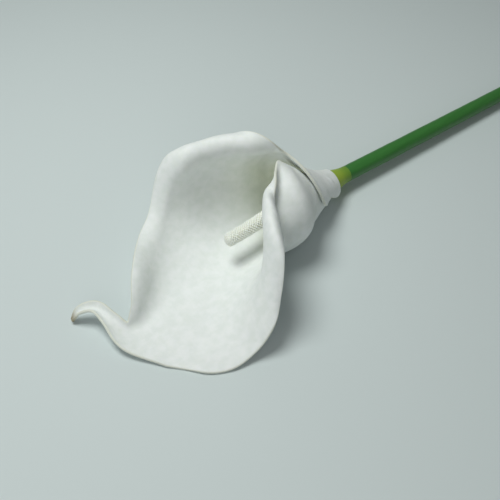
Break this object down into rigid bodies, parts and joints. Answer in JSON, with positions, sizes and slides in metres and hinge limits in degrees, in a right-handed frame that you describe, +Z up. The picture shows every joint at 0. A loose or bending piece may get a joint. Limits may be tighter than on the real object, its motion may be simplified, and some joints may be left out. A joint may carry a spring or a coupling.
{
  "type": "calla lily flower",
  "caption": "Single white calla lily blossom with a wrapped funnel spathe, central spadix and curled tail, on a long green stem, lying on its side.",
  "frame": {"origin": "centre of the footprint, on the surface the flower lies on", "axes": "+X from the blossom along the stem to its cut end, -Y towards the low side of the spathe, +Z up from the surface"},
  "size_m": [0.3436, 0.0622, 0.0347],
  "materials": {
    "spathe_foam": "soft matte foam sheet, near white with a cool tint",
    "spadix_foam": "matte, finely beaded, cream white",
    "collar_plastic": "satin, yellow green",
    "stem_plastic": "satin, mid green"
  },
  "bodies": {
    "root": {"spathe": "spathe_foam", "spadix": "spadix_foam", "collar": "collar_plastic", "stem": "stem_plastic"}
  },
  "joints": []
}
